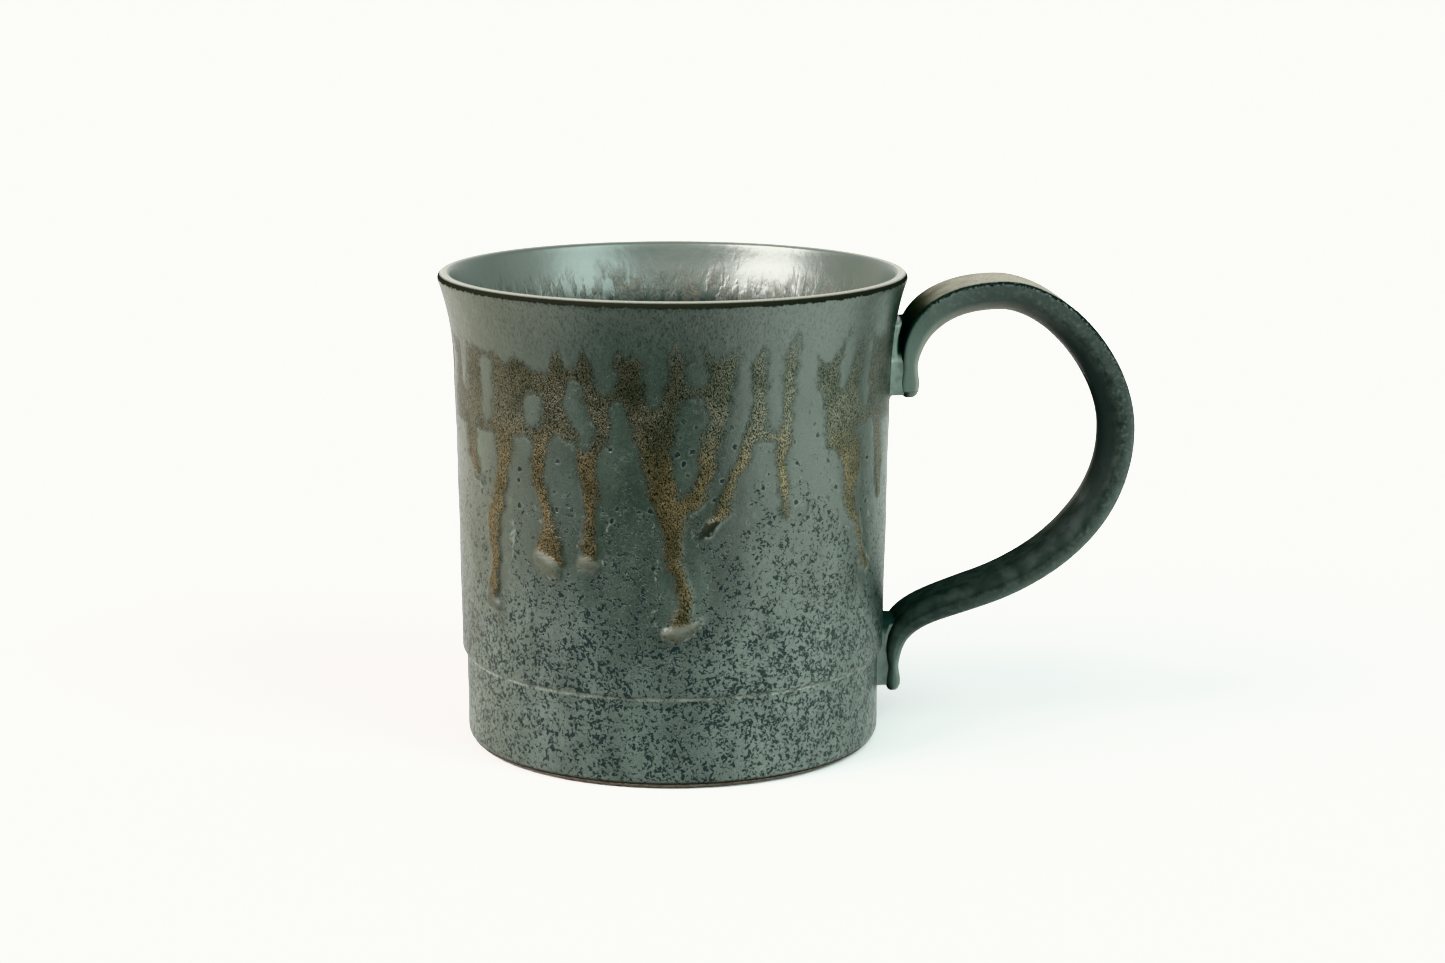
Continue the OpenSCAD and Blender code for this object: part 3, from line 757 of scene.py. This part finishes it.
def wall_material():
    s = Shader("poured_glazes")
    height, crest, flow = s.value("height"), s.value("crest"), s.value("flow")
    brown_depth, drop_depth, pale = s.value("brown"), s.value("drop"), s.value("pale")
    fine = s.noise(0.8, 3)
    grit = s.noise(0.3, 2, shift=11)
    streaks = s.noise(0.7, 3, stretch=(1, 1, 6))

    # Base glaze: darker and smoother above and in the flows, paler and speckled below
    clouds = s.noise(7, 4, stretch=(1, 1, 1.8))
    tone = s.ramp(s.scaled(grit, 1.2, clouds), 0.75, 1.45)
    below = s.ramp(s.scaled(clouds, 24.0, s.maths("MULTIPLY", height, -1.0)), -34.0, -4.0)
    colour = s.mix(below, s.mix(tone, UPPER_BASE, UPPER_PALE), s.mix(tone, LOWER_BASE, LOWER_PALE))

    # Finely streaked zone under the lip
    rim = s.ramp(height, 75, 83)
    colour = s.mix(s.both(rim, s.ramp(streaks, 0.35, 0.7, (0.35, 0.8))), colour, RIM_WARM)
    rim_grain = s.both(s.ramp(height, 72, 82),
                       s.ramp(s.noise(0.34, 3, stretch=(1, 1, 2.4), shift=23), 0.5, 0.64))
    colour = s.mix(s.both(rim_grain, 0.6), colour, SPECKLE)

    # Dark iron speckles, crowded toward the foot and outside the flows
    crowd = s.plus(s.ramp(height, 8, 58, (0.102, 0.0)), s.ramp(height, 6, 24, (-0.032, 0.0)))
    in_flow = s.ramp(s.scaled(fine, 1.2, flow), 0.2, 1.6, (0.0, -0.085))
    blots = s.scaled(s.noise(2.6, 2, shift=13), 0.26,
                    s.noise(0.66, 4, shift=3, twist=0.8, rough=0.6))
    speckle = s.ramp(s.plus(s.plus(blots, crowd), in_flow), 0.70, 0.755)
    speckle = s.both(speckle, s.ramp(height, 62, 74, (1.0, 0.3)))
    colour = s.mix(s.both(speckle, 0.9), colour, SPECKLE)

    # Small burst bubbles, dark with a pale rim, where the flows end
    cells = s.node("ShaderNodeTexVoronoi")
    s.put(cells.inputs["Vector"], s.place)
    cells.inputs["Scale"].default_value = 1 / (2.3 * MM)
    size = s.scaled(fine, 0.5, s.plus(cells.outputs["Distance"], -0.2))
    where = s.both(s.ramp(cells.outputs["Color"], 0.36, 0.46), s.ramp(height, 36, 50),
                   s.ramp(height, 60, 72, (1.0, 0.12)), s.fade(brown_depth, -0.8, -0.2))
    ring = s.both(s.ramp(size, 0.25, 0.30), s.fade(size, 0.32, 0.40))
    pit = s.both(where, s.fade(size, 0.2, 0.3))
    colour = s.mix(s.both(ring, where, 0.10), colour, PALE_LINE)
    colour = s.mix(s.both(pit, 0.9), colour, SPECKLE)

    # Fine pale lines where one flow of glaze stopped against another: the glaze's pale edge, with a
    # painted highlight on its ridge
    stop = s.scaled(fine, 1.6, s.plus(flow, -0.8))
    line = s.fade(s.maths("ABSOLUTE", stop), 0.05, 0.3)
    broken = s.both(s.ramp(s.noise(1.6, 2, shift=17), 0.55, 0.65),
                    s.ramp(height, 46, 56, (0.35, 0.0)))
    colour = s.mix(s.both(line, broken), colour, PALE_LINE)

    # Matte brown glaze with golden grains, fading upward, with a dark outline
    jitter = s.scaled(fine, 1.8, s.plus(brown_depth, -0.9))
    jitter = s.scaled(grit, 3.0, s.plus(jitter, -1.5))
    fade = s.ramp(height, 74, 82)
    ragged = s.both(fade, s.scaled(streaks, 6.0, -3.0))
    brown = s.ramp(s.plus(jitter, ragged), -0.9, 0.9)
    brown = s.both(brown, s.ramp(height, 75, 82, (1.0, 0.4)))
    grains = s.ramp(s.noise(0.2, 2, stretch=(1, 1, 1.5), shift=5), 0.37, 0.63)
    outline = s.ramp(s.scaled(fine, 0.8, brown_depth), 0.25, 1.3, (0.3, 1.0))
    gold = s.both(grains, s.both(outline, s.ramp(s.noise(6, 2, shift=19), 0.35, 0.6, (0.6, 1.0))))
    gold = s.both(gold, s.ramp(height, 66, 78, (1.0, 0.75)))
    grain_colour = s.mix(s.ramp(s.scaled(clouds, 12.0, height), 62, 72), BROWN_GOLD, BROWN_GREY)
    colour = s.mix(brown, colour, s.mix(gold, BROWN_DARK, grain_colour))

    # Painted highlight: a pale crown on the upper edge of each opening in the brown glaze
    crown_highlight = s.both(s.ramp(brown_depth, -0.95, -0.5), s.fade(brown_depth, -0.3, 0.1),
                   s.ramp(crest, 0.35, 0.9), s.ramp(fine, 0.4, 0.6))
    colour = s.mix(s.both(crown_highlight, 0.16), colour, PALE_LINE)

    # Drops at the ends of the runs
    on_drop = s.ramp(s.scaled(fine, 1.8, s.plus(drop_depth, -0.9)), -0.35, 0.5)
    drop_colour = s.mix(s.both(pale, s.ramp(grit, 0.3, 0.6, (0.6, 1.0))), BLACK_DROP, PALE_DROP)
    own_colour = s.both(on_drop, s.ramp(pale, -0.9, -0.1))
    colour = s.mix(own_colour, colour, drop_colour)

    # The foot band's ridge, a dark line under the lip, a painted highlight on the lip's top, and
    # the foot's edge
    ridge = s.both(s.ramp(height, BAND_H - 0.3, BAND_H + 0.2),
                   s.fade(height, BAND_H + 0.4, BAND_H + 0.9))
    ridge = s.both(ridge, s.ramp(s.noise(3, 3, shift=21), 0.35, 0.6, (0.15, 0.6)))
    colour = s.mix(ridge, colour, PALE_LINE)
    wander = s.scaled(s.noise(0.8, 3), 0.9, s.plus(height, -0.45))
    dark_rims = s.both(s.ramp(wander, CUP_H - 1.35, CUP_H - 0.95),
                   s.fade(height, CUP_H - 0.4, CUP_H - 0.2))
    dark_rims = s.either(dark_rims, s.fade(height, GLAZE_Z, GLAZE_Z + 0.9))
    colour = s.mix(dark_rims, colour, LIP_DARK)
    # Painted highlight along the top of the lip
    colour = s.mix(s.ramp(height, CUP_H - 0.28, CUP_H - 0.12, (0.0, 0.6)), colour, LIP_HIGHLIGHT)

    # Sheen and relief: the brown glaze is metallic, and speckles, pits and dark edges are matte
    matte = s.either(speckle, pit)
    covered = s.maths("SUBTRACT", brown, s.both(brown, on_drop))
    roughness = s.scaled(covered, 0.09, 0.33)
    roughness = s.scaled(below, 0.08, roughness)
    roughness = s.scaled(on_drop, 0.2, roughness)
    roughness = s.scaled(s.plus(fine, -0.5), 0.25, roughness)
    peel = s.bump(s.noise(1.3, 3, shift=2), 0.06)
    grainy = s.bump(grit, 0.02, peel)
    gritty = s.bump(s.both(grains, covered), 0.03, grainy)
    pitted = s.bump(matte, -0.05, gritty)
    dulled = s.either(dark_rims, s.either(s.both(matte, 0.66), s.both(rim_grain, 0.3)))
    dulled = s.either(dulled, s.both(own_colour, s.ramp(pale, 0.0, 0.5, (0.9, 0.45))))
    s.set(Base_Color=colour, Roughness=roughness, Metallic=covered, Normal=pitted, IOR=GLAZE_IOR,
          Specular_IOR_Level=s.ramp(dulled, 0.0, 1.0, (0.5, 0.0)))
    return s.material


def liner_material():
    s = Shader("liner_glaze_inside")
    height = s.value("height")
    colour = s.mix(s.ramp(s.noise(7, 4, stretch=(1, 1, 1.8)), 0.35, 0.7), UPPER_PALE, LOWER_BASE)
    streaks = s.noise(2.8, 3, stretch=(1, 1, 4), shift=4)
    threads = s.noise(1.8, 3, stretch=(1, 1, 6), shift=8)
    brown = s.either(s.ramp(streaks, 0.46, 0.60), s.ramp(threads, 0.52, 0.62))
    brown = s.both(brown, s.fade(s.scaled(threads, 9.0, height), 83, 90))
    grains = s.ramp(s.noise(0.5, 2, shift=5), 0.4, 0.62)
    colour = s.mix(s.both(brown, 0.8), colour, s.mix(grains, BROWN_DARK, INSIDE_BROWN))
    # Painted shade: darker and less glossy deeper inside the cup, broken by the streaks
    depth_shade = s.fade(s.scaled(streaks, 4.0, height), 77, 82.5)
    depth_shade = s.both(depth_shade, s.ramp(height, 50, 67, (0.3, 1.0)))
    colour = s.mix(s.both(depth_shade, 0.75), colour, SPECKLE)
    # Painted highlight along the top of the lip
    colour = s.mix(s.ramp(height, CUP_H - 0.25, CUP_H - 0.08, (0.0, 0.5)), colour, LIP_HIGHLIGHT)
    roughness = s.scaled(brown, 0.15, 0.34)
    peel = s.bump(s.noise(2.0, 3, shift=2), 0.06)
    s.set(Base_Color=colour, Roughness=roughness, Normal=s.bump(brown, 0.08, peel), IOR=GLAZE_IOR,
          Specular_IOR_Level=s.ramp(s.either(depth_shade, s.both(brown, 0.8)), 0.0, 1.0, (0.5, 0.2)))
    return s.material


def handle_material():
    s = Shader("handle_dark_glaze")
    outward, sideways, share = s.value("outward"), s.value("sideways"), s.value("share")
    mottle = s.noise(2.6, 4, shift=1)
    fine = s.noise(0.5, 3, shift=6)
    aside = s.maths("ABSOLUTE", sideways)

    # Near black on the sides, with painted light: greener over the top and paler toward the wall,
    # over the glaze's mottle
    tone = s.ramp(s.scaled(fine, 0.45, mottle), 0.5, 1.0)
    tone = s.plus(tone, s.ramp(share, 0.25, 0.45, (0.75, 0.0)))
    tone = s.plus(tone, s.ramp(outward, -0.2, 0.7, (0.0, 0.8)))
    colour = s.mix(tone, HANDLE_DARK, HANDLE_GREEN)
    # Painted light: the upper end is paler, except on its outer face
    lit_end = s.both(s.fade(share, 0.09, 0.27), s.fade(outward, 0.8, 0.97))
    colour = s.mix(lit_end, colour, HANDLE_PALE)
    warm = s.both(s.fade(outward, -0.95, -0.2), s.fade(share, 0.26, 0.4))
    colour = s.mix(s.both(warm, 0.5), colour, BROWN_GREY)
    tip = s.both(s.ramp(share, 0.84, 0.95, (0.0, 0.9)), s.ramp(outward, -0.75, 0.1))
    colour = s.mix(tip, colour, HANDLE_PALE)
    # Painted sheen: a paler outer border round the bend
    elbow_sheen = s.both(s.ramp(share, 0.45, 0.6), s.fade(share, 0.7, 0.8), s.ramp(outward, 0.1, 0.9))
    colour = s.mix(s.both(elbow_sheen, 0.35), colour, HANDLE_PALE)

    # Inner side: dark glaze with painted shade inside the loop, paler where it turns up, with a
    # painted highlight on the far edge
    within = s.both(s.fade(outward, -0.7, 0.1), s.ramp(share, 0.26, 0.46),
                    s.ramp(share, 0.55, 0.75, (1.0, 0.35)))
    patches = s.both(s.ramp(s.noise(1.0, 4, shift=27), 0.5, 0.68), s.ramp(outward, -0.5, 0.2))
    colour = s.mix(s.both(patches, 0.22), colour, HANDLE_PALE)
    # Painted shade inside the loop, over the dark glaze
    colour = s.mix(within, colour, HANDLE_SHADE)
    upper_face = s.both(s.fade(outward, -0.6, 0.5), s.ramp(share, 0.5, 0.66))
    colour = s.mix(s.both(upper_face, s.ramp(mottle, 0.3, 0.7, (0.4, 0.9))), colour, HANDLE_INNER)
    turned_up = s.both(s.fade(outward, -0.25, 0.3), s.ramp(share, 0.5, 0.62))
    within = s.either(within, turned_up)
    # Painted highlight along the far edge of the inner side
    far = s.both(s.ramp(sideways, 0.1, 0.8), s.fade(share, 0.58, 0.7))
    far = s.either(far, s.both(s.ramp(sideways, 0.85, 1.0), s.ramp(share, 0.78, 0.86, (0.6, 0.0))))
    far = s.both(far, s.fade(outward, -0.95, -0.7))
    colour = s.mix(s.both(far, 0.7), colour, HANDLE_EDGE_HIGHLIGHT)

    # Golden outer face, a painted top light where the face looks up, between dark, jagged edges
    face = s.ramp(s.scaled(fine, 0.12, outward), 0.98, 1.05)
    rough_side = s.scaled(fine, 0.14, aside)
    gold = s.both(face, s.fade(rough_side, 0.93, 1.0))
    gold = s.both(gold, s.both(s.ramp(share, 0.14, 0.23), s.ramp(share, 0.42, 0.6, (1.0, 0.25))))
    # Painted top light: warm toward the upper end, golden further along
    lit_face_colour = s.mix(s.ramp(share, 0.2, 0.34), HANDLE_LIT_WARM, HANDLE_LIT_GOLD)
    gold = s.both(gold, s.ramp(s.noise(3.5, 4, shift=9), 0.3, 0.6, (0.6, 1.0)))
    colour = s.mix(gold, colour, lit_face_colour)
    arris = s.both(s.ramp(rough_side, 0.97, 1.02), s.ramp(s.scaled(fine, 0.5, outward), 0.95, 1.15))
    arris = s.both(arris, s.ramp(share, 0.12, 0.2), s.ramp(share, 0.36, 0.5, (1.0, 0.4)))
    outer_face = s.ramp(outward, 0.7, 0.9)
    # Painted shade on the outer face where it runs close to the wall
    hidden = s.both(outer_face, s.fade(share, 0.13, 0.19))
    colour = s.mix(hidden, colour, HANDLE_SHADE)
    # Dark, jagged edges and a darker cut end at the strap's start, both without gloss
    cut = s.both(s.ramp(share, 0.004, 0.02, (0.8, 0.0)), s.ramp(outward, -0.2, 0.5))
    dark_edges = s.either(cut, arris)
    colour = s.mix(dark_edges, colour, HANDLE_DARK)
    dull = s.either(dark_edges, s.both(outer_face, s.fade(share, 0.2, 0.32)))

    gloss = s.both(s.ramp(within, 0.0, 1.0, (0.30, 0.0)), s.fade(dull, 0.0, 1.0))
    peel = s.bump(s.noise(1.4, 3, shift=2), 0.07)
    s.set(Base_Color=colour, Roughness=s.ramp(fine, 0.3, 0.7, (0.36, 0.52)), IOR=GLAZE_IOR,
          Specular_IOR_Level=gloss, Normal=s.bump(fine, 0.03, peel))
    return s.material


# Where a pad's dark top starts, dark glaze with painted shade near the strap: its height, and how
# much of it there is at the wall
UPPER_CHANGE, LOWER_CHANGE = (71.0, 0.0), (18.4, 1.0)
# Painted glint on a pad: lower and upper height, and shares of the way to the strap between
# which it comes in
UPPER_GLINT, LOWER_GLINT = (77.2, 80.0, 0.3, 0.0), (16.4, 21.3, 0.7, 0.85)


def joint_material(name, pale, dark, change, glint):
    """Glaze over a pad: the second colour, with painted shade, takes over above a height, and a
    painted glint lies on it.
    """
    s = Shader(name)
    high, around = change
    height = s.node("ShaderNodeSeparateXYZ")
    s.put(height.inputs[0], s.place)
    # Dark top of the pad: its own dark glaze with painted shade near the strap
    up = s.ramp(height.outputs["Z"], high * MM, (high + 2.5) * MM)
    up = s.both(up, s.ramp(s.value("toward"), 0.5, 0.72, (around, 1.0)))
    patch = s.ramp(s.noise(1.8, 3, shift=7), 0.35, 0.65, (0.0, 0.35))
    colour = s.mix(s.either(up, patch), pale, dark)
    low, top, near, end = glint
    # Painted glint on the pad
    painted_glint = s.both(s.ramp(height.outputs["Z"], low * MM, (low + 1.5) * MM),
                    s.fade(height.outputs["Z"], (top - 0.7) * MM, top * MM))
    painted_glint = s.both(painted_glint, s.ramp(s.value("toward"), near, end))
    colour = s.mix(painted_glint, colour, JOINT_GLINT)
    s.set(Base_Color=colour, Roughness=0.42, IOR=GLAZE_IOR,
          Specular_IOR_Level=s.ramp(up, 0.0, 1.0, (0.45, 0.0)),
          Normal=s.bump(s.noise(1.2, 3), 0.06))
    return s.material


def clay_material():
    s = Shader("bare_stoneware")
    grog = s.ramp(s.noise(0.6, 3), 0.4, 0.65)
    colour = s.mix(grog, CLAY_DARK, CLAY_PALE)
    s.set(Base_Color=colour, Roughness=0.85, IOR=1.5, Normal=s.bump(s.noise(0.4, 3), 0.05))
    return s.material


def cover(obj, material):
    obj.data.materials.clear()
    obj.data.materials.append(material)


# ---- Studio ----

# Light from all round: bright sides, a dark room on the camera's side and three soft lights above.
# A lobe is an azimuth (0 is the camera's side, 90 the handle's), an elevation, the angles from its
# middle where it is full and where it ends, and its colour.
WORLD_BRIGHT = (1.4, 1.4, 1.38)
LIGHT_LOBES = (
    (84, -52, 14, 36, (2.9, 3.4, 3.0)),
    (76, -12, 24, 52, (2.95, 3.4, 3.05)),
    (126, -10, 12, 40, (1.25, 1.45, 1.3)),
    (-100, -52, 14, 36, (2.2, 2.2, 1.85)),
    (-117, -12, 24, 43, (1.6, 1.54, 1.24)),
    (-22, -5, 24, 58, (0.25, 0.28, 0.27)),
    (-8, 46, 8, 30, (3.8, 3.9, 3.6)),
    (-66, 42, 7, 24, (37.0, 36.3, 34.0)),
    (50, 38, 9, 25, (10.0, 12.5, 11.6)),
)


def world_light():
    world = bpy.data.worlds.new("studio")
    bpy.context.scene.world = world
    n = Nodes(world)
    direction = n.node("ShaderNodeTexCoord").outputs["Generated"]
    colour = WORLD_BRIGHT
    for azimuth, elevation, full, end, light in LIGHT_LOBES:
        a, e, inner, outer = (math.radians(angle) for angle in (azimuth, elevation, full, end))
        toward = (math.sin(a) * math.cos(e), -math.cos(a) * math.cos(e), math.sin(e))
        near = n.node("ShaderNodeVectorMath", operation="DOT_PRODUCT")
        for socket, value in zip(near.inputs, (direction, toward)):
            n.put(socket, value)
        lobe = n.ramp(near.outputs["Value"], math.cos(outer), math.cos(inner))
        colour = n.mix(lobe, colour, light)
    background = n.node("ShaderNodeBackground")
    n.put(background.inputs["Color"], colour)
    output = n.node("ShaderNodeOutputWorld")
    n.put(output.inputs[0], background.outputs[0])


FLOOR_RADIUS = 6.0


def build_floor():
    a = np.linspace(0, 2 * math.pi, 96, endpoint=False)
    rim = np.stack([np.cos(a), np.sin(a), 0 * a], -1) * FLOOR_RADIUS / MM
    floor = make_object("floor", rim, [tuple(range(len(rim)))])
    s = Shader("studio_floor")
    tone = s.ramp(s.noise(60, 2), 0.3, 0.7)
    s.set(Base_Color=s.mix(tone, *FLOOR_COLOURS), Roughness=0.9)
    s.surface.inputs["Specular IOR Level"].default_value = 0.0
    cover(floor, s.material)
    # The sheen on the glaze comes from the soft lights alone
    floor.visible_glossy = False


# Millimetres, then degrees for the first two angles and radians for the roll
CAMERA_AT = (-28.3, -539.8, 160.0)
CAMERA_DOWN = 11.70
CAMERA_TURN = 3.985
CAMERA_ROLL = 0.0033
CAMERA_LENS = 73.65


def build_camera():
    data = bpy.data.cameras.new("camera")
    data.lens = CAMERA_LENS
    data.sensor_width = 36
    data.clip_start, data.clip_end = 0.01, 50
    camera = bpy.data.objects.new("camera", data)
    camera.location = Vector(CAMERA_AT) * MM
    aim = Euler((math.radians(90 - CAMERA_DOWN), 0, -math.radians(CAMERA_TURN))).to_matrix()
    camera.rotation_euler = (aim @ Matrix.Rotation(CAMERA_ROLL, 3, "Z")).to_euler()
    bpy.context.scene.collection.objects.link(camera)
    bpy.context.scene.camera = camera


# ---- The mug ----

def place(piece, material, slot, *nodes):
    cover(piece, material)
    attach(piece, "root")
    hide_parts(*nodes)


bpy.context.scene.view_settings.view_transform = "Khronos PBR Neutral"
glaze, inside, handle_glaze = wall_material(), liner_material(), handle_material()
upper_joint = joint_material("upper_joint_glaze", JOINT_PALE, HANDLE_DARK, UPPER_CHANGE,
                             UPPER_GLINT)
lower_joint = joint_material("lower_joint_glaze", HANDLE_PALE, HANDLE_GREEN, LOWER_CHANGE,
                             LOWER_GLINT)
place(build_outer_glaze(), glaze, "celadon_glaze", "outer_glaze", "brown_overglaze", "glaze_drops")
place(build_liner(), inside, "liner_glaze", "liner_glaze")
place(build_handle(), handle_glaze, "handle_glaze", "handle_strap", "handle_glaze")
place(pad("upper_pad", True, UPPER_PAD), upper_joint, "handle_glaze", "upper_handle_pad")
place(pad("lower_pad", False, LOWER_PAD), lower_joint, "handle_glaze", "lower_handle_pad")
place(slip_corner("upper_slip", UPPER_SLIP), upper_joint, "celadon_glaze", "upper_slip_fillet")
place(slip_corner("lower_slip", LOWER_SLIP), lower_joint, "celadon_glaze", "lower_slip_fillet")
cover(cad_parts["stoneware_cup"], clay_material())

world_light()
build_floor()
build_camera()
